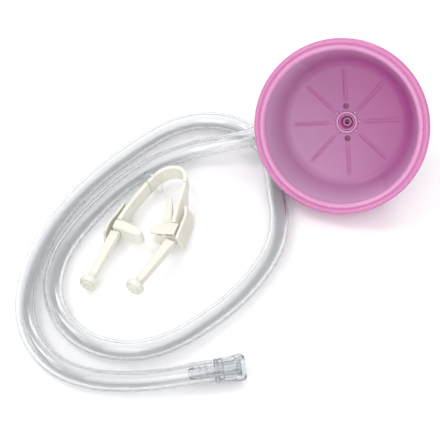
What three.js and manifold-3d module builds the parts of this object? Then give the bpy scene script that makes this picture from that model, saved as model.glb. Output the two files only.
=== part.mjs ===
// Hand milking teat cup with a swivel elbow, a free hose, a hose connector and a squeeze clip.
// Millimetres, +Z up. Everything lies on the plane z = 0. The layout is drawn about the middle of
// the hose's coil, and ORIGIN moves it so that the part's origin is under the middle of the cup and clip.
import * as THREE from 'three';
import { mergeVertices } from 'three/addons/utils/BufferGeometryUtils.js';
import Module from 'manifold-3d';

const wasm = await Module();
wasm.setup();

// ---- driving dimensions ----
const ORIGIN = [18.9, 6.8, 0];

// cup: r and z are measured in its own frame, from the middle of the inner floor
const CUP_TILT = 51.5;             // degrees from vertical, towards -Y
const CUP_YAW = 16.1;              // degrees towards -X
const RIM_CENTRE = [63.5, 26.2, 44.6];
const CUP_DEPTH = 27;
const CUP_TURN = 14;               // degrees the floor's pattern is turned about the cup's axis
const LIP_R = 46.7;
const RIB_COUNT = 8;
const PIP_COUNT = 6;
const PIP_R = 0.85;
const PIP_CIRCLE_R = 6.95;
const VENT_R = 1.6;
const VENT_CIRCLE_R = 8.9;
const SPINDLE_R = 3.4;
const SPINDLE_TIP_R = 2.45;
const SPINDLE_BORE_R = 1.45;
const ELBOW_Z = -12.6;             // height of the side arm behind the floor
const ELBOW_ARM = 11;              // from the cup's axis to the hose's end
const ELBOW_BARB = 21;             // from the cup's axis to the barb's end
const ELBOW_TURN = 19;             // degrees the side arm points down from level

// hose
const HOSE_R = 5;
const HOSE_BORE_R = 3.5;
const HOSE_STEPS = 72;

// connector: s runs along its axis from the hose's end
const CONNECTOR_START = [-3, -101.4, 6.9];
const CONNECTOR_HEADING = 9;       // degrees from +X
const CONNECTOR_BORE_R = 2;

// clip, in its own plane: across to the right, along from the bow to the feet, height through its width
const CLIP_BOW = [-29.6, 26.5, 7.9];
const CLIP_HEADING = -18.7;        // degrees that the feet swing towards -X
const CLIP_ROLL = 8;               // degrees that the right side is raised
const STRAP_WIDTH = 8.5;
const STRAP_THICK = 2.3;
const FOOT_R = 5;

const COLOURS = {
  bowl: 0xc488b4, lip: 0xe698cb, hub: 0xd884bd, clear: 0xc9ced3, clip: 0xf3f0e6, rubber: 0x2a2a2c, white: 0xe9eaea,
};

// ---- helpers ----
const rad = THREE.MathUtils.degToRad;

function toSolid(geometry) {
  const bare = geometry.index ? geometry.clone() : geometry;
  bare.deleteAttribute('normal');
  bare.deleteAttribute('uv');
  const merged = mergeVertices(bare, 1e-4);
  return new wasm.Manifold(new wasm.Mesh({
    numProp: 3,
    vertProperties: new Float32Array(merged.attributes.position.array),
    triVerts: new Uint32Array(merged.index.array),
  }));
}

function toGeometry(solid) {
  const mesh = solid.getMesh();
  const geometry = new THREE.BufferGeometry();
  geometry.setAttribute('position', new THREE.BufferAttribute(new Float32Array(mesh.vertProperties), 3));
  geometry.setIndex(new THREE.BufferAttribute(new Uint32Array(mesh.triVerts), 1));
  geometry.computeVertexNormals();
  return geometry;
}

function join(parts) {
  return parts.map(toSolid).reduce((sum, part) => sum.add(part));
}

function cut(solid, tools) {
  return tools.map(toSolid).reduce((rest, tool) => rest.subtract(tool), solid);
}

// a closed profile of [r, z] pairs turned about Z, anticlockwise when r is to the right and z up
function turned(profile, segments) {
  const points = [...profile, profile[0]].map(([r, z]) => new THREE.Vector2(r, z));
  return new THREE.LatheGeometry(points, segments).rotateX(Math.PI / 2);
}

function rod(radius, from, to, segments = 20) {
  const start = new THREE.Vector3(...from);
  const along = new THREE.Vector3(...to).sub(start);
  const geometry = new THREE.CylinderGeometry(radius, radius, along.length(), segments);
  geometry.translate(0, along.length() / 2, 0);
  const turn = new THREE.Quaternion().setFromUnitVectors(new THREE.Vector3(0, 1, 0), along.clone().normalize());
  return geometry.applyQuaternion(turn).translate(...from);
}

function mesh(name, geometry, colour, extra = {}) {
  const look = { color: colour, roughness: 0.4, metalness: 0, ...extra };
  const result = new THREE.Mesh(geometry, new THREE.MeshStandardMaterial(look));
  result.name = name;
  return result;
}

// the outline of a band of even thickness along a line of [x, y] points, with square ends
function band(line, thickness) {
  const points = line.map(([x, y]) => new THREE.Vector2(x, y));
  const left = [];
  const right = [];
  points.forEach((point, i) => {
    const before = points[Math.max(i - 1, 0)];
    const after = points[Math.min(i + 1, points.length - 1)];
    const side = after.clone().sub(before).normalize();
    const offset = new THREE.Vector2(-side.y, side.x).multiplyScalar(thickness / 2);
    left.push(point.clone().add(offset));
    right.unshift(point.clone().sub(offset));
  });
  return new THREE.Shape([...left, ...right]);
}

function smoothLine(points, count) {
  const curve = new THREE.CatmullRomCurve3(points.map(([x, y]) => new THREE.Vector3(x, y, 0)), false, 'centripetal');
  return curve.getSpacedPoints(count).map((p) => [p.x, p.y]);
}

function plate(shape, low, high) {
  return new THREE.ExtrudeGeometry(shape, { depth: high - low, bevelEnabled: false }).translate(0, 0, low);
}

function onCircle(radius, degrees) {
  return [radius * Math.cos(rad(degrees)), radius * Math.sin(rad(degrees))];
}

// ---- cup ----
function cupBowl() {
  const wall = [
    [5.35, -6], [6.6, -6], [6.9, -5.6], [7.1, -2.4], [30, -2.4], [33.4, -1.6], [35.8, 0.6], [36.9, 3.4],
    [39.0, 10], [43.3, 24.4], [41.1, 24.4], [35.6, 4.2], [34.4, 1.3], [32.4, 0], [5.35, 0],
  ];
  const ribs = [];
  for (let i = 0; i < RIB_COUNT; i += 1) {
    const angle = 360 / RIB_COUNT * i;
    const start = angle % 180 === 90 ? VENT_CIRCLE_R + VENT_R + 0.6 : 8.4;
    const rib = new THREE.BoxGeometry(31.8 - start, 1.5, 1.1).translate((31.8 + start) / 2, 0, 0);
    ribs.push(rib.rotateZ(rad(angle + CUP_TURN)));
  }
  const pips = [0, 45, 135, 180, 225, 315].slice(0, PIP_COUNT).map((angle) => {
    const [x, y] = onCircle(PIP_CIRCLE_R, angle + CUP_TURN);
    return rod(PIP_R, [x, y, -0.5], [x, y, 0.75], 10);
  });
  const vents = [90, 270].map((angle) => {
    const [x, y] = onCircle(VENT_CIRCLE_R, angle + CUP_TURN);
    return rod(VENT_R, [x, y, -1.6], [x, y, 2], 14);
  });
  return toGeometry(cut(join([turned(wall, 56), ...ribs, ...pips]), vents));
}

function lipSeal() {
  const section = [
    [41.3, 14.2], [42.5, 13.4], [44.2, 14.0], [45.4, 17.5], [46.5, 22.5], [LIP_R, 24.6], [46.3, 26.4],
    [45.0, 27.6], [43.2, 28], [41.6, 27.4], [40.5, 26.1], [40.4, 24.8], [43.7, 24.8], [43.6, 23.6],
  ];
  return turned(section, 56);
}

function hubBush() {
  return turned([
    [3.5, -6.2], [5.15, -6.2], [5.15, 0.3], [5.9, 0.3], [5.9, 0.6], [5.6, 0.9], [4.75, 0.9], [4.75, -4.2], [3.5, -4.2],
  ], 32);
}

function outletFunnel() {
  return turned([
    [2.65, -3.9], [4.4, -3.9], [4.4, 0.9], [4.1, 1.1], [3.9, 0.9], [3.3, -1.2], [2.65, -2.6],
  ], 32);
}

function spindleORing() {
  return turned([[2.75, -5.5], [3.1, -5.75], [3.46, -5.5], [3.46, -5.1], [3.1, -4.85], [2.75, -5.1]], 24);
}

function swivelElbow() {
  const spindle = turned([
    [0, -9], [SPINDLE_R, -9], [SPINDLE_R, -5.85], [2.7, -5.85], [2.7, -4.75], [SPINDLE_R, -4.75], [SPINDLE_R, -4.3],
    [SPINDLE_TIP_R, -4.3], [SPINDLE_TIP_R, -1.9], [0, -1.9],
  ], 24);
  const knuckle = turned([
    [0, -17.6], [4.2, -17.6], [5.8, -16.4], [6.4, -14.6], [6.4, -7.6], [5.6, -6.6], [0, -6.6],
  ], 28);
  const arm = turned([
    [0, 0], [4.7, 0], [4.7, ELBOW_ARM - 1], [4.2, ELBOW_ARM - 0.4], [2.7, ELBOW_ARM - 0.4], [2.6, 12.5], [3.1, 12.7],
    [2.6, 15.5], [3.1, 15.7], [2.6, 18.5], [3.1, 18.7], [2.5, ELBOW_BARB], [0, ELBOW_BARB],
  ], 24).rotateY(-Math.PI / 2).rotateZ(rad(ELBOW_TURN)).translate(0, 0, ELBOW_Z);
  const [barbX, barbY] = onCircle(-ELBOW_BARB - 1, ELBOW_TURN);
  const bores = [
    rod(SPINDLE_BORE_R, [0, 0, ELBOW_Z - 0.2], [0, 0, 0], 16),
    rod(2, [0, 0, ELBOW_Z], [barbX, barbY, ELBOW_Z], 16),
  ];
  return toGeometry(cut(join([spindle, knuckle, arm]), bores));
}

function cupFrame() {
  const tilt = new THREE.Matrix4().makeRotationX(rad(CUP_TILT));
  const yaw = new THREE.Matrix4().makeRotationZ(rad(-CUP_YAW));
  const turn = yaw.multiply(tilt);
  const axis = new THREE.Vector3(0, 0, 1).applyMatrix4(turn);
  const floor = new THREE.Vector3(...RIM_CENTRE).addScaledVector(axis, -CUP_DEPTH);
  return turn.setPosition(floor);
}

// ---- hose ----
function connectorAxis() {
  return new THREE.Vector3(Math.cos(rad(CONNECTOR_HEADING)), Math.sin(rad(CONNECTOR_HEADING)), 0);
}

// from the connector round the outer turn, under the cup, round the inner turn and up to the elbow
function hoseRoute() {
  const connector = new THREE.Vector3(...CONNECTOR_START);
  const tail = connectorAxis();
  const frame = cupFrame();
  const elbowPoint = (distance) => {
    const [x, y] = onCircle(-distance, ELBOW_TURN);
    return new THREE.Vector3(x, y, ELBOW_Z).applyMatrix4(frame);
  };
  const free = [
    [-28, -105.1, 5.6], [-46, -106.2, 5.1], [-63.5, -104.4, 5.1], [-79, -97.6, 5.1], [-90.4, -85.6, 5.1],
    [-97.2, -70, 5.1], [-99, -52, 5.1], [-96.6, -33, 5.1], [-90.4, -12, 5.1], [-81, 7, 5.1], [-67, 27, 5.1],
    [-49, 46.5, 5.1], [-32, 61.2, 5.1], [-22.2, 66.8, 5.1], [-11.4, 69.7, 5.1], [-0.4, 69.3, 5.1],
    [9.8, 65.5, 5.1], [18.2, 59, 5.1], [24.3, 50.4, 5.1], [27.9, 40.4, 5.1], [29.3, 29, 5.1], [30.6, 14, 5.1], [31.7, -2, 5.1], [29.2, -20, 5.1],
    [21.4, -37.6, 5.1], [8, -56, 5.1], [-9, -72, 5.1], [-20.5, -80.4, 5.1], [-32.6, -86.2, 5.1], [-45, -88.3, 5.1],
    [-58.6, -86, 5.1], [-71, -78.9, 5.1], [-80.1, -68, 5.1], [-85, -54.6, 5.1], [-85.6, -41, 5.1],
    [-82.6, -26, 5.1], [-76, -11.5, 5.1], [-66, 4.5, 5.1], [-51, 23, 5.1], [-34, 37.2, 5.3], [-18, 44.6, 6.4],
    [-2.4, 47.2, 9.2], [12, 47.6, 12.9], [26.2, 50.6, 15.5],
  ];
  const start = [0.3, 8, 15].map((distance) => connector.clone().addScaledVector(tail, -distance));
  start[2].z -= 0.5;
  const end = [ELBOW_ARM + 12, ELBOW_ARM + 6, ELBOW_ARM].map(elbowPoint);
  return [...start, ...free.map((point) => new THREE.Vector3(...point)), ...end];
}

function hoseTube() {
  const ring = (radius) => Array.from({ length: 12 }, (_, i) => new THREE.Vector2(...onCircle(radius, 30 * i)));
  const section = new THREE.Shape(ring(HOSE_R));
  section.holes.push(new THREE.Path(ring(HOSE_BORE_R).reverse()));
  const path = new THREE.CatmullRomCurve3(hoseRoute(), false, 'centripetal');
  return new THREE.ExtrudeGeometry(section, { steps: HOSE_STEPS, extrudePath: path, bevelEnabled: false });
}

// ---- connector ----
function connectorStem() {
  return turned([
    [CONNECTOR_BORE_R, -12], [2.5, -12], [3.15, -9.6], [2.6, -9.4], [3.15, -6.4], [2.6, -6.2], [3.15, -3.2], [2.6, -3],
    [2.6, 0.2], [5.6, 0.2], [5.8, 0.5], [5.8, 1.8], [5.6, 2.1], [3.1, 2.1], [3.1, 4.7], [3.9, 4.7], [4.2, 12.6],
    [CONNECTOR_BORE_R, 12.6],
  ], 28);
}

function connectorCollar() {
  return turned([
    [3.4, 2.4], [5.5, 2.4], [5.7, 2.8], [6, 8], [6.2, 10.4], [6.6, 11], [6.8, 12], [6.75, 13.2], [6.3, 14.5], [5.7, 15.2],
    [5.1, 15.2], [4.9, 14.9], [4.55, 13], [4.55, 4.4], [3.4, 4.4],
  ], 32);
}

function connectorWasher() {
  return turned([[2.1, 12.9], [4.25, 12.9], [4.25, 13.9], [2.1, 13.9]], 24);
}

function connectorFrame() {
  const turn = new THREE.Quaternion().setFromUnitVectors(new THREE.Vector3(0, 0, 1), connectorAxis());
  return new THREE.Matrix4().makeRotationFromQuaternion(turn).setPosition(...CONNECTOR_START);
}

// ---- clip: x across, y back from the feet to the bow, z through the strap's width ----
const STRAP_LEAN = 0.45;

function strap(points, count = 10) {
  return plate(band(smoothLine(points, count), STRAP_THICK), -STRAP_WIDTH / 2, STRAP_WIDTH / 2);
}

function clipBow() {
  return strap([[-5.6, -11.6], [-4.2, -7], [-1.6, -1.8], [3.2, 1.9], [8.4, 2], [12.2, -1.6], [14.2, -7]], 18);
}

function leftStrap() {
  return strap([[-5.8, -12.1], [-8.2, -22], [-10.2, -32], [-11.2, -40.3]]);
}

// the right arm's strap twists from the bow down, so that its outer face turns up
function rightStrap() {
  const geometry = strap([[14.35, -7.5], [16.6, -17], [18.6, -27.4], [20.1, -36.4]], 16);
  const place = geometry.getAttribute('position');
  for (let i = 0; i < place.count; i++) {
    const share = THREE.MathUtils.clamp((-8 - place.getY(i)) / 16, 0, 1);
    place.setX(i, place.getX(i) - STRAP_LEAN * share * place.getZ(i));
  }
  return geometry;
}

function polygonPlate(points, low, high) {
  return plate(new THREE.Shape(points.map(([x, y]) => new THREE.Vector2(x, y))), low, high);
}

// the left jaw is a tapering bar whose rounded tip points at the right jaw
function leftJaw() {
  return polygonPlate([
    [-12.8, -40.8], [-9.8, -40.8], [-6, -41.4], [1.6, -43.8], [4.2, -45.2], [4.8, -47], [3.6, -48.8], [1.2, -49.2],
    [-6, -47.4], [-9.4, -46.4], [-12.8, -46.4],
  ], -3.8, 4.4);
}

// the right jaw is a channel with a floor and two lips, and a guide prong towards the bow
function rightJaw() {
  const block = polygonPlate([
    [21.8, -37], [17.6, -37], [13.2, -38.4], [8.8, -40.6], [8.4, -45.4], [12.4, -46.2], [16.4, -45.6], [21.8, -44.6],
  ], -4.6, 4.6);
  const prong = polygonPlate([
    [17.6, -38], [13, -39.6], [11.2, -33], [9.2, -23], [8.8, -17.6], [9.8, -17], [12.7, -23.4], [16, -33],
  ], -2.6, 2.6);
  const channel = new THREE.BoxGeometry(9, 12, 5.4).translate(8.6, -43, 0);
  return toGeometry(cut(join([block, prong]), [channel]));
}

// a finger plate beside an arm, whose lower edge leans out by lean times its height
function saddle(points, thickness, low, high, lean) {
  const shape = band(smoothLine(points, 8), thickness);
  const slant = new THREE.Matrix4().set(1, 0, -lean, 0, 0, 1, 0, 0, 0, 0, 1, 0, 0, 0, 0, 1);
  return plate(shape, low, high).applyMatrix4(slant);
}

function leftSaddle() {
  return saddle([[-13.6, -28.5], [-14.6, -35], [-16.2, -43], [-16.1, -50.5]], 1.3, -5.4, 4.6, -0.2);
}

function rightSaddle() {
  return saddle([[22.2, -24], [24.2, -29.5], [24.7, -36], [25.2, -46.5]], 1.7, -4.6, 4.2, 0.35);
}

function leg(top, bottom, topSize, bottomSize) {
  const along = new THREE.Vector2(bottom[0] - top[0], bottom[1] - top[1]);
  const shape = new THREE.Shape([
    new THREE.Vector2(-topSize / 2, 0), new THREE.Vector2(topSize / 2, 0),
    new THREE.Vector2(bottomSize / 2, -along.length()), new THREE.Vector2(-bottomSize / 2, -along.length()),
  ]);
  const bevel = { depth: bottomSize - 1.6, bevelThickness: 0.8, bevelSize: 0.6, bevelOffset: -0.6, bevelSegments: 2 };
  const geometry = new THREE.ExtrudeGeometry(shape, bevel).translate(0, 0, -bottomSize / 2 + 0.8);
  return geometry.rotateZ(Math.atan2(along.x, -along.y)).translate(top[0], top[1], 0);
}

// a round disc that stands on its edge, with two grooves across its outer face
function foot(x, y, heading) {
  const disc = turned([
    [0, -2.4], [FOOT_R - 1.2, -2.4], [FOOT_R, -1.4], [FOOT_R, 0.4], [FOOT_R - 1.4, 2], [2.4, 2.6], [0, 2.7],
  ], 24);
  const grooves = [-1.3, 1.3].map((offset) => new THREE.BoxGeometry(0.7, 12, 1.2).translate(offset, 0, -2.4));
  const solid = toGeometry(cut(toSolid(disc), grooves));
  return solid.rotateX(Math.PI / 2).rotateZ(rad(heading)).translate(x, y, 0);
}

function tetherRing() {
  const ring = new THREE.TorusGeometry(6.4, 0.7, 8, 28);
  return ring.rotateX(Math.PI / 2).rotateZ(rad(-22)).translate(-4.4, -8, 0.4);
}

function clipFrame() {
  const yaw = new THREE.Matrix4().makeRotationZ(rad(CLIP_HEADING));
  const roll = new THREE.Matrix4().makeRotationY(rad(-CLIP_ROLL));
  return yaw.multiply(roll).setPosition(...CLIP_BOW);
}

// ---- assembly ----
function placed(frame, children) {
  const group = new THREE.Group();
  group.applyMatrix4(frame);
  group.add(...children);
  return group;
}

const clear = { roughness: 0.12, transparent: true, opacity: 0.5 };
const soft = { roughness: 0.3, transparent: true, opacity: 0.8 };

const part = new THREE.Group();
part.position.set(-ORIGIN[0], -ORIGIN[1], -ORIGIN[2]);
part.add(
  placed(cupFrame(), [
    mesh('cup_bowl', cupBowl(), COLOURS.bowl, soft),
    mesh('lip_seal', lipSeal(), COLOURS.lip, { roughness: 0.18 }),
    mesh('hub_bush', hubBush(), COLOURS.hub),
    mesh('outlet_funnel', outletFunnel(), COLOURS.hub),
    mesh('spindle_o_ring', spindleORing(), COLOURS.rubber),
    mesh('swivel_elbow', swivelElbow(), COLOURS.white),
  ]),
  mesh('hose', hoseTube(), COLOURS.clear, clear),
  placed(connectorFrame(), [
    mesh('connector_stem', connectorStem(), COLOURS.clear, clear),
    mesh('connector_collar', connectorCollar(), COLOURS.clear, clear),
    mesh('connector_washer', connectorWasher(), COLOURS.white),
  ]),
  placed(clipFrame(), [
    mesh('clip_bow', clipBow(), COLOURS.clip),
    mesh('left_strap', leftStrap(), COLOURS.clip),
    mesh('right_strap', rightStrap(), COLOURS.clip),
    mesh('left_jaw', leftJaw(), COLOURS.clip),
    mesh('right_jaw', rightJaw(), COLOURS.clip),
    mesh('left_saddle', leftSaddle(), COLOURS.clip),
    mesh('right_saddle', rightSaddle(), COLOURS.clip),
    mesh('left_leg', leg([-11.2, -47], [-12, -79.4], 5.4, 4), COLOURS.clip),
    mesh('right_leg', leg([20, -46.9], [13, -76.6], 5.8, 4), COLOURS.clip),
    mesh('left_foot', foot(-12.1, -82.1, 0), COLOURS.clip),
    mesh('right_foot', foot(12.3, -79.3, -13), COLOURS.clip),
    mesh('tether_ring', tetherRing(), COLOURS.clear, clear),
  ]),
);
part.updateMatrixWorld(true);

export default part;
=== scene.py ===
"""Looks of the hand milking cup set: camera, hose, cup, elbow, connector, clip, materials, floor and light.

Lengths are written in millimetres, as in part.mjs, and MM turns them into metres.
"""

import math

import bmesh
import bpy
import numpy as np
from mathutils import Matrix, Vector


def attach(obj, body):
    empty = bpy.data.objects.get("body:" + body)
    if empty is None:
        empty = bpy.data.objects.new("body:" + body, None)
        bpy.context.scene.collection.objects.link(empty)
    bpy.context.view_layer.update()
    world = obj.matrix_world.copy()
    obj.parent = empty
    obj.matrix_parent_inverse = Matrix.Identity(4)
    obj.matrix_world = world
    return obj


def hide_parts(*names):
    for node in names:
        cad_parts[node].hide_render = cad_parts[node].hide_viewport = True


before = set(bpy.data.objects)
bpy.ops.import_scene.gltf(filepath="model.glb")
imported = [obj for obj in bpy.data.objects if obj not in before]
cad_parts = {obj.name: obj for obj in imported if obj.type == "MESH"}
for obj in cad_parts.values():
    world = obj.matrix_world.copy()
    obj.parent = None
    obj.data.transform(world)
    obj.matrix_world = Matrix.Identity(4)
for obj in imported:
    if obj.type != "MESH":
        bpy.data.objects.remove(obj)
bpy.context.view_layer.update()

MM = 0.001
ORIGIN = Vector((18.9, 6.8, 0))

# cup, as in part.mjs: its frame has z along the cup's axis, from the middle of the inner floor
CUP_TILT = math.radians(51.5)
CUP_YAW = math.radians(16.1)
RIM_CENTRE = Vector((63.5, 26.2, 44.6))
CUP_DEPTH = 27
FLOOR_R = 31.4
ELBOW_Z = -12.6
ELBOW_ARM = 11
ELBOW_BARB = 21
ELBOW_TURN = math.radians(19)

# hose and connector
HOSE_R = 5
HOSE_BORE_R = 3.5
CONNECTOR_START = Vector((-3, -101.4, 6.9))
CONNECTOR_HEADING = math.radians(9)

# clip
CLIP_BOW = Vector((-29.6, 26.5, 7.9))
CLIP_HEADING = math.radians(-18.7)
CLIP_ROLL = math.radians(8)
STRAP_WIDTH = 8.5
STRAP_THICK = 2.3
STRAP_LEAN = 0.45
FOOT_R = 5

# camera
CAMERA_ELEVATION = math.radians(50)
CAMERA_DISTANCE = 700
CAMERA_LENS = 106.06


# ---- frames of the three groups ----
def cup_frame():
    turn = Matrix.Rotation(-CUP_YAW, 4, "Z") @ Matrix.Rotation(CUP_TILT, 4, "X")
    axis = turn.to_3x3() @ Vector((0, 0, 1))
    return Matrix.Translation(RIM_CENTRE - CUP_DEPTH * axis - ORIGIN) @ turn


def connector_axis():
    return Vector((math.cos(CONNECTOR_HEADING), math.sin(CONNECTOR_HEADING), 0))


def connector_frame():
    turn = Vector((0, 0, 1)).rotation_difference(connector_axis()).to_matrix().to_4x4()
    return Matrix.Translation(CONNECTOR_START - ORIGIN) @ turn


def clip_frame():
    turn = Matrix.Rotation(CLIP_HEADING, 4, "Z") @ Matrix.Rotation(-CLIP_ROLL, 4, "Y")
    return Matrix.Translation(CLIP_BOW - ORIGIN) @ turn


CUP = cup_frame()
CONNECTOR = connector_frame()
CLIP = clip_frame()


# ---- camera ----
def make_camera():
    data = bpy.data.cameras.new("camera")
    data.lens = CAMERA_LENS
    data.sensor_width = 36
    camera = bpy.data.objects.new("camera", data)
    bpy.context.scene.collection.objects.link(camera)
    back = Vector((0, -math.cos(CAMERA_ELEVATION), math.sin(CAMERA_ELEVATION)))
    camera.location = (CAMERA_DISTANCE * back - ORIGIN) * MM
    camera.rotation_euler = (math.pi / 2 - CAMERA_ELEVATION, 0, 0)
    bpy.context.scene.camera = camera
    bpy.context.scene.view_settings.view_transform = "Standard"


# ---- materials ----
FLOOR_PINK = (0.46, 0.155, 0.37)
# painted shade: the deeper side of the bowl and the hub's bores
SHADE_PINK = (0.45, 0.08, 0.32)
# painted light: the paler, greyer side of the bowl and its wall towards the rim
LIT_WALL_PINK = (0.70, 0.44, 0.64)
RIB_PINK = (0.49, 0.14, 0.36)
# painted shade down the vents' walls
VENT_SHADE_PINK = (0.26, 0.05, 0.17)
LIP_PINK = (0.61, 0.22, 0.44)
# painted shade: the lip's outside and underside
LIP_SHADE_PINK = (0.57, 0.13, 0.37)
# painted highlight: the lip's inner band, the pips and the hub's top edges
HIGHLIGHT_PINK = (0.68, 0.31, 0.54)
HUB_PINK = (0.58, 0.17, 0.40)


def new_material(name, colour, roughness, **sockets):
    material = bpy.data.materials.new(name)
    material.use_nodes = True
    shader = material.node_tree.nodes["Principled BSDF"]
    shader.inputs["Base Color"].default_value = (*colour, 1)
    shader.inputs["Roughness"].default_value = roughness
    for socket, value in sockets.items():
        shader.inputs[socket.replace("_", " ")].default_value = value
    return material, shader


def add_noise(material, scale, detail=3):
    tree = material.node_tree
    coordinates = tree.nodes.new("ShaderNodeTexCoord")
    noise = tree.nodes.new("ShaderNodeTexNoise")
    noise.inputs["Scale"].default_value = scale
    noise.inputs["Detail"].default_value = detail
    tree.links.new(coordinates.outputs["Object"], noise.inputs["Vector"])
    return noise


def vary_colour(material, shader, low, high, scale):
    ramp = material.node_tree.nodes.new("ShaderNodeValToRGB")
    ramp.color_ramp.elements[0].position = 0.3
    ramp.color_ramp.elements[1].position = 0.7
    ramp.color_ramp.elements[0].color = (*low, 1)
    ramp.color_ramp.elements[1].color = (*high, 1)
    links = material.node_tree.links
    links.new(add_noise(material, scale).outputs["Fac"], ramp.inputs["Fac"])
    links.new(ramp.outputs["Color"], shader.inputs["Base Color"])


def painted_colour(material, shader, low, scale):
    """Takes the colour painted on the mesh, darkened in cloudy patches down to low."""
    tree = material.node_tree
    paint = tree.nodes.new("ShaderNodeVertexColor")
    paint.layer_name = "paint"
    patches = tree.nodes.new("ShaderNodeMapRange")
    patches.inputs["To Min"].default_value = low
    patches.inputs["To Max"].default_value = 1
    mix = tree.nodes.new("ShaderNodeVectorMath")
    mix.operation = "SCALE"
    tree.links.new(add_noise(material, scale).outputs["Fac"], patches.inputs["Value"])
    tree.links.new(paint.outputs["Color"], mix.inputs[0])
    tree.links.new(patches.outputs["Result"], mix.inputs["Scale"])
    tree.links.new(mix.outputs["Vector"], shader.inputs["Base Color"])


def vary_roughness(material, shader, low, high, scale):
    spread = material.node_tree.nodes.new("ShaderNodeMapRange")
    spread.inputs["To Min"].default_value = low
    spread.inputs["To Max"].default_value = high
    links = material.node_tree.links
    links.new(add_noise(material, scale).outputs["Fac"], spread.inputs["Value"])
    links.new(spread.outputs["Result"], shader.inputs["Roughness"])


def add_bump(material, shader, scale, strength, distance):
    bump = material.node_tree.nodes.new("ShaderNodeBump")
    bump.inputs["Strength"].default_value = strength
    bump.inputs["Distance"].default_value = distance
    links = material.node_tree.links
    links.new(add_noise(material, scale, 5).outputs["Fac"], bump.inputs["Height"])
    links.new(bump.outputs["Normal"], shader.inputs["Normal"])


def soft_silicone(name, colour, roughness, subsurface, transmission=0.0):
    material, shader = new_material(
        name, colour, roughness, Subsurface_Weight=subsurface, Subsurface_Scale=0.004,
        Transmission_Weight=transmission, IOR=1.41, Coat_Weight=0.2, Coat_Roughness=0.15,
    )
    shader.inputs["Subsurface Radius"].default_value = (1.0, 0.45, 0.7)
    painted_colour(material, shader, 0.93, 55)
    vary_roughness(material, shader, roughness - 0.05, roughness + 0.08, 240)
    add_bump(material, shader, 900, 0.12, 0.0002)
    return material


def clear_plastic(name, colour, roughness, bump, absorption):
    material, shader = new_material(name, colour, roughness, Transmission_Weight=1.0, IOR=1.46)
    haze = material.node_tree.nodes.new("ShaderNodeVolumeAbsorption")
    haze.inputs["Color"].default_value = (0.76, 0.79, 0.82, 1)
    haze.inputs["Density"].default_value = absorption
    output = material.node_tree.nodes["Material Output"]
    material.node_tree.links.new(haze.outputs["Volume"], output.inputs["Volume"])
    vary_roughness(material, shader, roughness, roughness + 0.06, 160)
    add_bump(material, shader, 120, bump, 0.0003)
    return material


def moulded_plastic(name, low, high, roughness):
    material, shader = new_material(name, high, roughness, Coat_Weight=0.1, Coat_Roughness=0.3)
    vary_colour(material, shader, low, high, 70)
    vary_roughness(material, shader, roughness - 0.06, roughness + 0.08, 300)
    add_bump(material, shader, 1400, 0.15, 0.0001)
    return material


def make_materials():
    rubber, shader = new_material("seal_rubber", (0.02, 0.02, 0.022), 0.5)
    add_bump(rubber, shader, 1500, 0.2, 0.0001)
    return {
        "bowl": soft_silicone("bowl_silicone", FLOOR_PINK, 0.42, 0.3, 0.08),
        "lip": soft_silicone("lip_silicone", LIP_PINK, 0.24, 0.3),
        "hub": soft_silicone("hub_pink", HUB_PINK, 0.2, 0.15),
        "hose": clear_plastic("hose_clear", (0.98, 0.985, 0.99), 0.03, 0.02, 60),
        "connector": clear_plastic("connector_clear", (0.98, 0.985, 0.99), 0.03, 0.04, 160),
        "clip": moulded_plastic("clip_ivory", (0.70, 0.68, 0.60), (0.76, 0.745, 0.67), 0.34),
        "fitting": moulded_plastic("fitting_white", (0.80, 0.81, 0.81), (0.86, 0.87, 0.87), 0.28),
        "rubber": rubber,
    }


MATERIALS = make_materials()


# ---- mesh helpers ----
def on_circle(radius, angle):
    return radius * math.cos(angle), radius * math.sin(angle)


def rounded(points, radius, steps=4):
    """Rounds the corners of a closed outline of (x, y) points."""
    result = []
    count = len(points)
    for i, point in enumerate(points):
        here = Vector(point)
        before = Vector(points[i - 1]) - here
        after = Vector(points[(i + 1) % count]) - here
        reach = min(radius, 0.45 * before.length, 0.45 * after.length)
        start = here + before.normalized() * reach
        end = here + after.normalized() * reach
        for step in range(steps + 1):
            t = step / steps
            result.append(start * (1 - t) ** 2 + here * 2 * t * (1 - t) + end * t * t)
    return [(p.x, p.y) for p in result]


def mixed(first, second, share):
    share = min(1, max(0, share))
    return tuple(a + (b - a) * share for a, b in zip(first, second))


def paint(mesh, colour_at):
    """Paints each vertex with the colour for its place, in millimetres before the piece is put in place."""
    layer = mesh.color_attributes.new("paint", "FLOAT_COLOR", "POINT")
    for vertex, cell in zip(mesh.vertices, layer.data):
        cell.color = (*colour_at(vertex.co), 1)
    return mesh


def add_piece(name, mesh, matrix, material, body, replaces=()):
    """Puts a mesh in millimetres into its place, hangs it on the body it rides on, and hides the CAD parts
    it stands for.
    """
    mesh.transform(Matrix.Scale(MM, 4) @ matrix)
    mesh.set_sharp_from_angle(angle=math.radians(42))
    piece = bpy.data.objects.new(name, mesh)
    bpy.context.scene.collection.objects.link(piece)
    if material:
        piece.data.materials.append(MATERIALS[material])
    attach(piece, body)
    if replaces:
        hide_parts(*replaces)
    return piece


def grid_mesh(name, rows, close_rows):
    """A mesh over rows of points, each a closed ring; close_rows joins the last row to the first."""
    points = np.array(rows)
    count, around = points.shape[:2]
    faces = []
    for i in range(count if close_rows else count - 1):
        j = (i + 1) % count
        for k in range(around):
            m = (k + 1) % around
            faces.append((i * around + k, i * around + m, j * around + m, j * around + k))
    if not close_rows:
        faces.append(tuple(range(around))[::-1])
        faces.append(tuple((count - 1) * around + k for k in range(around)))
    mesh = bpy.data.meshes.new(name)
    mesh.from_pydata(points.reshape(-1, 3).tolist(), [], faces)
    return face_out(mesh)


def face_out(mesh):
    work = bmesh.new()
    work.from_mesh(mesh)
    bmesh.ops.recalc_face_normals(work, faces=work.faces)
    for face in work.faces:
        face.smooth = True
    work.to_mesh(mesh)
    work.free()
    return mesh


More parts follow.
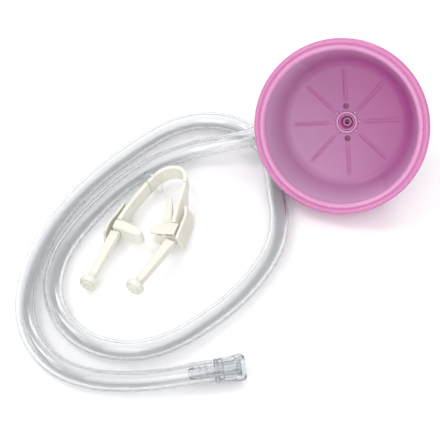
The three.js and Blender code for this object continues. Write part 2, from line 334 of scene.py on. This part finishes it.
def turned(name, profile, segments=96, radius=0.3, steps=4):
    """A closed profile of (r, z) turned about Z, with its corners rounded."""
    outline = rounded(profile, radius, steps)
    angles = [2 * math.pi * k / segments for k in range(segments)]
    rows = [[(r * math.cos(a), r * math.sin(a), z) for a in angles] for r, z in outline]
    return grid_mesh(name, rows, close_rows=True)


def plate(name, outline, low, high, bevel=0.45):
    """A flat outline raised from low to high, with round edges."""
    work = bmesh.new()
    base = [work.verts.new((x, y, low)) for x, y in outline]
    face = work.faces.new(base)
    top = bmesh.ops.extrude_face_region(work, geom=[face])["geom"]
    raised = [v for v in top if isinstance(v, bmesh.types.BMVert)]
    bmesh.ops.translate(work, verts=raised, vec=(0, 0, high - low))
    bmesh.ops.recalc_face_normals(work, faces=work.faces)
    rims = [e for e in work.edges if abs(e.verts[0].co.z - e.verts[1].co.z) < 1e-6]
    bmesh.ops.bevel(
        work, geom=rims, offset=bevel, segments=4, profile=0.5, affect="EDGES", clamp_overlap=True
    )
    for part in work.faces:
        part.smooth = True
    mesh = bpy.data.meshes.new(name)
    work.to_mesh(mesh)
    work.free()
    return mesh


def joined(name, meshes):
    work = bmesh.new()
    for mesh in meshes:
        work.from_mesh(mesh)
    result = bpy.data.meshes.new(name)
    work.to_mesh(result)
    work.free()
    return result


def smooth_curve(points, per_span):
    """The centripetal curve through the points that part.mjs follows."""
    p = [Vector(q) for q in points]
    p = [2 * p[0] - p[1], *p, 2 * p[-1] - p[-2]]
    line = []
    for i in range(1, len(p) - 2):
        gaps = [max((p[i + k] - p[i + k - 1]).length, 1e-9) ** 0.5 for k in range(3)]
        before, span, after = gaps
        step_in, step, step_out = (p[i + k] - p[i + k - 1] for k in range(3))
        start = step_in / before - (step_in + step) / (before + span) + step / span
        end = step / span - (step + step_out) / (span + after) + step_out / after
        start, end = start * span, end * span
        for k in range(per_span):
            t = k / per_span
            line.append(
                (2 * t**3 - 3 * t * t + 1) * p[i] + (t**3 - 2 * t * t + t) * start
                + (3 * t * t - 2 * t**3) * p[i + 1] + (t**3 - t * t) * end
            )
    line.append(p[-2])
    return line


def smooth_line(points, per_span=8):
    return [(p.x, p.y) for p in smooth_curve([(x, y, 0) for x, y in points], per_span)]


# ---- hose ----
def hose_route():
    """From the elbow to the connector, in millimetres from ORIGIN."""
    free = [
        (-28, -105.1, 5.6), (-46, -106.2, 5.1), (-63.5, -104.4, 5.1), (-79, -97.6, 5.1),
        (-90.4, -85.6, 5.1), (-97.2, -70, 5.1), (-99, -52, 5.1), (-96.6, -33, 5.1), (-90.4, -12, 5.1),
        (-81, 7, 5.1), (-67, 27, 5.1), (-49, 46.5, 5.1), (-32, 61.2, 5.1), (-22.2, 66.8, 5.1),
        (-11.4, 69.7, 5.1), (-0.4, 69.3, 5.1), (9.8, 65.5, 5.1), (18.2, 59, 5.1), (24.3, 50.4, 5.1),
        (27.9, 40.4, 5.1), (29.3, 29, 5.1), (30.6, 14, 5.1), (31.7, -2, 5.1), (29.2, -20, 5.1),
        (21.4, -37.6, 5.1), (8, -56, 5.1), (-9, -72, 5.1), (-20.5, -80.4, 5.1), (-32.6, -86.2, 5.1),
        (-45, -88.3, 5.1), (-58.6, -86, 5.1), (-71, -78.9, 5.1), (-80.1, -68, 5.1), (-85, -54.6, 5.1),
        (-85.6, -41, 5.1), (-82.6, -26, 5.1), (-76, -11.5, 5.1), (-66, 4.5, 5.1), (-51, 23, 5.1),
        (-34, 37.2, 5.3), (-18, 44.6, 6.4), (-2.4, 47.2, 9.2), (12, 47.6, 12.9), (26.2, 50.6, 15.5),
    ]
    start = [CONNECTOR_START - connector_axis() * distance for distance in (0.3, 8, 15)]
    start[2].z -= 0.5
    elbow = []
    for distance in (ELBOW_ARM + 12, ELBOW_ARM + 6, ELBOW_ARM):
        x, y = on_circle(-distance, ELBOW_TURN)
        elbow.append(CUP @ Vector((x, y, ELBOW_Z)))
    table = [point - ORIGIN for point in [*start, *map(Vector, free)]]
    return [*table, *elbow][::-1]


def swell(distance):
    """How far the hose is stretched over a barb that ends at this distance from the hose's end."""
    return 0.45 * math.exp(-((distance - 5) / 6.5) ** 4)


def tube_rings(line, radius_at, sides):
    """Rings of points round a line, turned from one to the next without twist."""
    rings = []
    side = None
    for i, point in enumerate(line):
        along = (line[min(i + 1, len(line) - 1)] - line[max(i - 1, 0)]).normalized()
        side = Vector((0, 0, 1)) if side is None else side
        side = (side - along * side.dot(along)).normalized()
        across = along.cross(side)
        radius = radius_at(i)
        turns = [2 * math.pi * k / sides for k in range(sides)]
        rings.append([point + radius * (math.cos(a) * side + math.sin(a) * across) for a in turns])
    return rings


def make_hose(with_pieces):
    line = smooth_curve(hose_route(), 16)
    lengths = np.cumsum([0, *[(b - a).length for a, b in zip(line, line[1:])]])
    end = lengths[-1]
    stretch = [swell(s) * 0.6 + swell(end - s) for s in lengths]
    outer = tube_rings(line, lambda i: HOSE_R + stretch[i], 48)
    inner = tube_rings(line, lambda i: HOSE_BORE_R + stretch[i] * 0.4, 48)
    mesh = grid_mesh("clear_hose", [*outer, *inner[::-1]], close_rows=True)
    piece = add_piece("clear_hose", mesh, Matrix(), "hose", "base", ["hose"])


# ---- cup ----
CUP_TURN = 14
RIB_ANGLES = [45 * i for i in range(8)]
PIP_ANGLES = [0, 45, 135, 180, 225, 315]
VENT_ANGLES = [90, 270]
COVE = [(29.6, 0.02), (31, 0.2), (32.6, 0.8), (34, 1.9), (35, 3.5), (35.8, 5.8), (36.6, 8.4)]
RIB_HEIGHT = 0.42
RIB_HALF_WIDTH = 0.7
PIP_RING_R = 6.95
PIP_R = 0.95
PIP_HEIGHT = 0.75
VENT_RING_R = 8.9
VENT_R = 1.6
VENT_DEPTH = 1.6


def cup_angle(degrees):
    return math.radians(degrees + CUP_TURN)


def raised_height(r, angle):
    """Height of the ribs and pips above the cup's floor."""
    height = 0.0
    for rib in RIB_ANGLES:
        along = r * math.cos(angle - cup_angle(rib))
        across = r * math.sin(angle - cup_angle(rib))
        start = 11 if rib in VENT_ANGLES else 8.6
        if along > 0 and r > start:
            ends = min(1, (r - start) / 2, max(0, (FLOOR_R - 1 - r) / 3))
            height = max(height, RIB_HEIGHT * ends / (1 + (across / RIB_HALF_WIDTH) ** 4))
    for pip in PIP_ANGLES:
        x, y = on_circle(PIP_RING_R, cup_angle(pip))
        gap = math.hypot(r * math.cos(angle) - x, r * math.sin(angle) - y)
        if gap < PIP_R:
            height = max(height, PIP_HEIGHT * math.sqrt(1 - (gap / PIP_R) ** 2))
    return height


def bowl_colour(place):
    """Magenta on the floor; painted shade makes it deeper to one side, and painted light makes it a paler,
    greyer pink to the other side and up the wall. The ribs take a deeper pink, the pips a painted highlight,
    and the vents painted shade.
    """
    r = math.hypot(place.x, place.y)
    side = (place.x + place.y) / 50
    # painted shade deepens one side of the bowl, and painted light pales the other
    colour = mixed(FLOOR_PINK, SHADE_PINK if side > 0 else LIT_WALL_PINK, abs(side) * (0.9 if side > 0 else 0.45))
    # painted light pales the wall towards the rim, leaving painted shade deep in the bowl
    colour = mixed(colour, LIT_WALL_PINK, (place.z - 1) / 24 * (0.7 if side > 0 else 1))
    # painted highlight on the pips near the hub; the ribs take their own deeper pink
    if r < 30 and place.z > 0.05:
        colour = mixed(colour, HIGHLIGHT_PINK if r < 8 else RIB_PINK, (place.z - 0.05) * 1.8)
    # painted shade down the walls of the two vents
    if -1.7 < place.z < -0.3 and 7.2 < r < 10.6 and abs(place.x) < 5:
        colour = VENT_SHADE_PINK
    return colour


def make_bowl():
    """One skin from the hub's back, over the floor and wall to the rim, and back down the outside."""
    segments = 540
    hub = [5.36 + 0.13 * i for i in range(22)]
    floor = [(r, 0) for r in [*hub, *np.linspace(8.3, 29, 26)]]
    cove = smooth_line(COVE, 4)
    wall = [*cove, (37.2, 10.5), (38.2, 14.2), (39.2, 18), (40.1, 21.2), (41.0, 24.2), (41.4, 24.4)]
    outside = [
        (43.0, 24.4), (43.3, 24.2), (41.2, 17.4), (39.0, 10), (37.4, 4.9), (36.9, 3.2), (36.1, 1.2),
        (34.8, -0.7), (33.2, -1.8), (31.4, -2.3), (30, -2.4), (20, -2.4), (8, -2.4), (7.3, -2.6),
        (7.0, -3.2), (6.8, -5.5), (6.5, -6), (5.6, -6), (5.36, -5.8),
    ]
    angles = [2 * math.pi * k / segments for k in range(segments)]
    rows = []
    for r, z in [*floor, *wall, *outside]:
        heights = [raised_height(r, a) if r < FLOOR_R and z >= 0 else 0 for a in angles]
        rows.append([(r * math.cos(a), r * math.sin(a), z + h) for a, h in zip(angles, heights)])
    mesh = cut_vents(grid_mesh("soft_cup_bowl", rows, close_rows=True))
    # painted light and shade on the bowl, as bowl_colour describes
    paint(mesh, bowl_colour)
    add_piece("soft_cup_bowl", mesh, CUP, "bowl", "cup", ["cup_bowl"])


def cut_vents(mesh):
    """Sinks two round blind vents into the floor beside the hub."""
    pins = []
    for degrees in VENT_ANGLES:
        profile = [(0.001, -VENT_DEPTH), (VENT_R, -VENT_DEPTH), (VENT_R, 3), (0.001, 3)]
        pin = turned("vent_pin", profile, 32, 0.01, 1)
        pin.transform(Matrix.Translation((*on_circle(VENT_RING_R, cup_angle(degrees)), 0)))
        pins.append(pin)
    bowl = bpy.data.objects.new("uncut_bowl", mesh)
    cutter = bpy.data.objects.new("vent_cutter", joined("vent_cutter", pins))
    bpy.context.scene.collection.objects.link(bowl)
    bpy.context.scene.collection.objects.link(cutter)
    boolean = bowl.modifiers.new("vents", "BOOLEAN")
    boolean.object = cutter
    boolean.operation = "DIFFERENCE"
    bpy.context.view_layer.update()
    result = bpy.data.meshes.new_from_object(bowl.evaluated_get(bpy.context.evaluated_depsgraph_get()))
    bpy.data.objects.remove(cutter)
    bpy.data.objects.remove(bowl)
    return result


def lip_colour(place):
    """Painted shade makes a deeper pink round the outside and underside, the bead stays pink, and a painted
    highlight makes a paler band at the inner edge.
    """
    r = math.hypot(place.x, place.y)
    if place.z < 24 or r > 46:
        return mixed(LIP_PINK, LIP_SHADE_PINK, (46.6 - r) * 0.5 + 0.6)
    return mixed(LIP_PINK, HIGHLIGHT_PINK, (43.8 - r) / 1.6)


def make_lip():
    section = [
        (41.3, 14.2), (42.6, 13.4), (44.3, 14.0), (45.4, 17.5), (46.4, 22.0), (46.7, 24.2),
        (46.7, 25.4), (46.3, 26.6), (45.5, 27.4), (44.7, 27.5), (44.1, 27.1), (43.7, 26.8),
        (43.3, 27.2), (42.8, 27.8), (42.0, 27.9), (41.2, 27.4), (40.6, 26.5), (40.4, 25.5),
        (40.6, 24.8), (43.75, 24.75), (43.4, 22.6),
    ]
    # painted shade round the lip's outside and a painted highlight at its inner edge
    mesh = paint(turned("soft_lip", section, 192, 0.8, 5), lip_colour)
    add_piece("soft_lip", mesh, CUP, "lip", "cup", ["lip_seal"])


def hub_colour(place):
    """A painted highlight makes the top edges paler, and painted shade makes it deeper down in the bores."""
    return mixed(HUB_PINK, HIGHLIGHT_PINK, place.z) if place.z > 0 else mixed(HUB_PINK, SHADE_PINK, -place.z / 5)


def make_hub():
    bush = [
        (3.5, -6.2), (5.15, -6.2), (5.15, 0.3), (5.9, 0.3), (5.9, 0.62), (5.6, 0.95), (4.75, 0.95),
        (4.75, -4.2), (3.5, -4.2),
    ]
    funnel = [(2.65, -3.9), (4.4, -3.9), (4.4, 0.9), (4.15, 1.15), (3.85, 0.9), (3.3, -1.2), (2.65, -2.6)]
    ring = [(2.75, -5.5), (3.1, -5.75), (3.46, -5.5), (3.46, -5.1), (3.1, -4.85), (2.75, -5.1)]
    # painted highlight on the top edges and painted shade down the bores
    mesh = paint(turned("hub_collar", bush, 96, 0.18), hub_colour)
    add_piece("hub_collar", mesh, CUP, "hub", "cup", ["hub_bush"])
    mesh = paint(turned("funnel_outlet", funnel, 96, 0.3), hub_colour)
    add_piece("funnel_outlet", mesh, CUP, "hub", "base", ["outlet_funnel"])
    mesh = turned("spindle_seal", ring, 64, 0.3)
    add_piece("spindle_seal", mesh, CUP, "rubber", "base", ["spindle_o_ring"])


def make_elbow():
    spindle = [
        (1.45, -9), (3.4, -9), (3.4, -5.85), (2.7, -5.85), (2.7, -4.75), (3.4, -4.75), (3.4, -4.3),
        (2.45, -4.3), (2.45, -1.9), (1.45, -1.9),
    ]
    knuckle = [
        (1.45, -12), (0.01, -12.2), (0.01, -17.6), (4.2, -17.6), (5.8, -16.4), (6.4, -14.6),
        (6.4, -7.6), (5.6, -6.6), (1.45, -6.6),
    ]
    arm = [
        (2, 3), (4.7, 3), (4.7, ELBOW_ARM - 1), (4.2, ELBOW_ARM - 0.4), (2.7, ELBOW_ARM - 0.4),
        (2.6, 12.5), (3.1, 12.7), (2.6, 15.5), (3.1, 15.7), (2.6, 18.5), (3.1, 18.7),
        (2.5, ELBOW_BARB), (2, ELBOW_BARB),
    ]
    collar = [(4.5, 6.9), (5.3, 7.1), (5.3, 8.5), (4.5, 8.7)]
    side = Matrix.Translation((0, 0, ELBOW_Z)) @ Matrix.Rotation(ELBOW_TURN, 4, "Z")
    side = side @ Matrix.Rotation(-math.pi / 2, 4, "Y")
    meshes = [turned("elbow_spindle", spindle, 64, 0.25), turned("elbow_knuckle", knuckle, 96, 0.8, 6)]
    for name, profile in (("elbow_arm", arm), ("elbow_collar", collar)):
        mesh = turned(name, profile, 72, 0.3)
        mesh.transform(side)
        meshes.append(mesh)
    # the pink end of the spindle takes the hub's painted shade, deeper down the bore
    mesh = paint(joined("elbow_fitting", meshes), hub_colour)
    mesh.materials.append(MATERIALS["fitting"])
    mesh.materials.append(MATERIALS["hub"])
    for face in mesh.polygons:
        face.material_index = int(face.center.z > -6.5)
    add_piece("elbow_fitting", mesh, CUP, None, "base", ["swivel_elbow"])


# ---- connector ----
def make_connector():
    stem = [
        (2, -12), (2.5, -12), (3.15, -9.6), (2.6, -9.4), (3.15, -6.4), (2.6, -6.2), (3.15, -3.2),
        (2.6, -3), (2.6, 0.2), (5.6, 0.2), (5.8, 0.5), (5.8, 1.8), (5.6, 2.1), (3.1, 2.1), (3.1, 4.7),
        (3.9, 4.7), (4.2, 12.6), (2, 12.6),
    ]
    collar = [
        (3.4, 2.4), (5.5, 2.4), (5.7, 2.8), (6, 8), (6.2, 10.4), (6.6, 11), (6.8, 12), (6.75, 13.2),
        (6.3, 14.5), (5.7, 15.2), (5.1, 15.2), (4.9, 14.9), (4.55, 13), (4.55, 4.4), (3.4, 4.4),
    ]
    washer = [(2.1, 12.9), (4.25, 12.9), (4.25, 13.9), (2.1, 13.9)]
    pieces = []
    for name, profile, material, body, slot, node in (
        ("hose_stem", stem, "connector", "base", "clear_plastic", "connector_stem"),
        ("hose_collar", collar, "connector", "collar", "clear_plastic", "connector_collar"),
        ("hose_washer", washer, "fitting", "base", "fitting_white", "connector_washer"),
    ):
        mesh = turned(name, profile, 96, 0.25)
        pieces.append(add_piece(name, mesh, CONNECTOR, material, body, [node]))
    return pieces


# ---- clip ----
def band(line, thickness):
    """The outline of a band of even thickness along a line."""
    left, right = [], []
    for i, (x, y) in enumerate(line):
        before = Vector(line[max(i - 1, 0)])
        after = Vector(line[min(i + 1, len(line) - 1)])
        along = (after - before).normalized()
        offset = Vector((-along.y, along.x)) * thickness / 2
        left.append((x + offset.x, y + offset.y))
        right.insert(0, (x - offset.x, y - offset.y))
    return [*left, *right]


def clip_piece(name, mesh, body, node):
    add_piece(name, mesh, CLIP, "clip", body, [node])


def strap_mesh(name, points):
    return plate(name, band(smooth_line(points), STRAP_THICK), -STRAP_WIDTH / 2, STRAP_WIDTH / 2, 0.4)


def twisted(mesh):
    """Turns a strap's outer face up from the bow down."""
    for vertex in mesh.vertices:
        share = min(1, max(0, (-8 - vertex.co.y) / 16))
        vertex.co.x -= STRAP_LEAN * share * vertex.co.z
    return mesh


def leg_mesh(name, top, bottom, top_size, bottom_size):
    """A square leg that tapers towards its foot."""
    along = Vector(bottom) - Vector(top)
    length = along.length
    rows = []
    for t in np.linspace(0, 1, 12):
        size = top_size + (bottom_size - top_size) * t
        wide, deep = size / 2, 2.0
        square = rounded([(-wide, -deep), (wide, -deep), (wide, deep), (-wide, deep)], 0.8, 4)
        rows.append([(x, -length * t, z) for x, z in square])
    mesh = grid_mesh(name, rows, close_rows=False)
    turn = Matrix.Rotation(math.atan2(along.x, -along.y), 4, "Z")
    mesh.transform(Matrix.Translation((top[0], top[1], 0)) @ turn)
    return mesh


def saddle_mesh(name, points, thickness, low, high, lean):
    """A finger plate beside an arm, whose lower edge leans out by lean times its height."""
    mesh = plate(name, band(smooth_line(points), thickness), low, high, 0.55)
    mesh.transform(Matrix(((1, 0, -lean, 0), (0, 1, 0, 0), (0, 0, 1, 0), (0, 0, 0, 1))))
    return mesh


def foot_mesh(name, x, y, heading):
    profile = [
        (0.01, -2.4), (FOOT_R - 1.2, -2.4), (FOOT_R, -1.4), (FOOT_R, 0.4), (4.5, 1.3), (3.9, 1.7),
        (3.7, 1.3), (3.4, 1.3), (3.2, 2.1), (2.5, 2.5), (1.7, 2.6), (1.5, 2.1), (1.2, 2.1), (1, 2.6),
        (0.01, 2.7),
    ]
    mesh = turned(name, profile, 72, 0.3)
    turn = Matrix.Rotation(math.radians(heading), 4, "Z") @ Matrix.Rotation(math.pi / 2, 4, "X")
    mesh.transform(Matrix.Translation((x, y, 0)) @ turn)
    return mesh


def make_clip():
    bow = [(-5.6, -11.6), (-4.2, -7), (-1.6, -1.8), (3.2, 1.9), (8.4, 2), (12.2, -1.6), (14.2, -7)]
    clip_piece("clip_bend", strap_mesh("clip_bend", bow), "base", "clip_bow")
    left_jaw = [
        (-12.8, -40.8), (-9.8, -40.8), (-6, -41.4), (1.6, -43.8), (4.2, -45.2), (4.8, -47),
        (3.6, -48.8), (1.2, -49.2), (-6, -47.4), (-9.4, -46.4), (-12.8, -46.4),
    ]
    right_jaw = [
        (21.8, -37), (17.6, -37), (13.2, -38.4), (8.8, -40.6), (8.4, -45.4), (12.4, -46.2),
        (16.4, -45.6), (21.8, -44.6),
    ]
    prong = [
        (17.6, -38), (13, -39.6), (11.2, -33), (9.2, -23), (8.8, -17.6), (9.8, -17), (12.7, -23.4),
        (16, -33),
    ]
    left_strap = [(-5.8, -12.1), (-8.2, -22), (-10.2, -32), (-11.2, -40.3)]
    right_strap = [(14.35, -7.5), (16.6, -17), (18.6, -27.4), (20.1, -36.4)]
    left_saddle = [(-13.6, -28.5), (-14.6, -35), (-16.2, -43), (-16.1, -50.5)]
    right_saddle = [(22.2, -24), (24.2, -29.5), (24.7, -36), (25.2, -46.5)]
    clip_piece("left_arm_strap", strap_mesh("left_arm_strap", left_strap), "left_arm", "left_strap")
    strap = twisted(strap_mesh("right_arm_strap", right_strap))
    clip_piece("right_arm_strap", strap, "right_arm", "right_strap")
    jaw = plate("left_pinch_jaw", rounded(left_jaw, 1, 3), -3.8, 4.4, 0.7)
    clip_piece("left_pinch_jaw", jaw, "left_arm", "left_jaw")
    channel = joined("right_pinch_jaw", [
        plate("jaw_lip_low", rounded(right_jaw, 0.8, 3), -4.6, -2.7, 0.5),
        plate("jaw_lip_high", rounded(right_jaw, 0.8, 3), 2.7, 4.6, 0.5),
        plate("jaw_root", rounded([*right_jaw[:3], *right_jaw[5:]], 0.6, 3), -4.5, 4.5, 0.4),
        plate("jaw_prong", rounded(prong, 0.9, 4), -2.6, 2.6, 0.5),
    ])
    clip_piece("right_pinch_jaw", channel, "right_arm", "right_jaw")
    left_pad = saddle_mesh("left_finger_saddle", left_saddle, 1.3, -5.4, 4.6, -0.2)
    right_pad = saddle_mesh("right_finger_saddle", right_saddle, 1.7, -4.6, 4.2, 0.35)
    clip_piece("left_finger_saddle", left_pad, "left_arm", "left_saddle")
    clip_piece("right_finger_saddle", right_pad, "right_arm", "right_saddle")
    left_leg = leg_mesh("left_clip_leg", (-11.2, -47), (-12, -79.4), 5.4, 4)
    right_leg = leg_mesh("right_clip_leg", (20, -46.9), (13, -76.6), 5.8, 4)
    clip_piece("left_clip_leg", left_leg, "left_arm", "left_leg")
    clip_piece("right_clip_leg", right_leg, "right_arm", "right_leg")
    clip_piece("left_clip_foot", foot_mesh("left_clip_foot", -12.1, -82.1, 0), "left_arm", "left_foot")
    clip_piece("right_clip_foot", foot_mesh("right_clip_foot", 12.3, -79.3, -13), "right_arm", "right_foot")


def make_tether():
    """A thin clear ring with a small thickened joint."""
    sides = 96
    rows = []
    for k in range(sides):
        a = 2 * math.pi * k / sides
        thick = 0.62 + 0.25 * math.exp(-((math.degrees(a) - 200) / 12) ** 2)
        out = Vector((math.cos(a), 0, math.sin(a)))
        turns = [2 * math.pi * i / 20 for i in range(20)]
        rows.append([out * (6.4 + thick * math.cos(t)) + Vector((0, thick * math.sin(t), 0)) for t in turns])
    mesh = grid_mesh("clear_tether", rows, close_rows=True)
    place = CLIP @ Matrix.Translation((-4.4, -8, 0.4)) @ Matrix.Rotation(math.radians(-22), 4, "Z")
    add_piece("clear_tether", mesh, place, "connector", "base", ["tether_ring"])


# ---- floor and light ----
def make_floor():
    work = bmesh.new()
    bmesh.ops.create_grid(work, x_segments=2, y_segments=2, size=3)
    mesh = bpy.data.meshes.new("floor")
    work.to_mesh(mesh)
    work.free()
    floor = bpy.data.objects.new("floor", mesh)
    bpy.context.scene.collection.objects.link(floor)
    material, shader = new_material("floor_white", (0.93, 0.93, 0.94), 0.7)
    vary_roughness(material, shader, 0.65, 0.8, 12)
    mesh.materials.append(material)
    floor.location.z = -0.0002


def area_light(name, place, size, power):
    data = bpy.data.lights.new(name, "AREA")
    data.energy = power
    data.size = size
    lamp = bpy.data.objects.new(name, data)
    bpy.context.scene.collection.objects.link(lamp)
    lamp.location = place
    lamp.rotation_euler = (-Vector(place)).to_track_quat("-Z", "Y").to_euler()


def make_light():
    world = bpy.data.worlds.new("studio")
    world.use_nodes = True
    nodes = world.node_tree.nodes
    links = world.node_tree.links
    direction = nodes.new("ShaderNodeTexCoord")
    height = nodes.new("ShaderNodeSeparateXYZ")
    sky = nodes.new("ShaderNodeMapRange")
    sky.inputs["From Max"].default_value = 0.45
    sky.inputs["To Min"].default_value = 0.28
    sky.inputs["To Max"].default_value = 1.02
    links.new(direction.outputs["Generated"], height.inputs["Vector"])
    links.new(height.outputs["Z"], sky.inputs["Value"])
    links.new(sky.outputs["Result"], nodes["Background"].inputs["Color"])
    bpy.context.scene.world = world
    area_light("key", (-0.7, 0.25, 1.1), 0.4, 3)
    area_light("fill", (-0.2, -0.9, 0.75), 0.8, 4.5)
    area_light("back", (0.3, 0.9, 0.7), 0.3, 2)


make_camera()
make_hose(make_connector())
make_bowl()
make_lip()
make_hub()
make_elbow()
make_clip()
make_tether()
make_floor()
make_light()
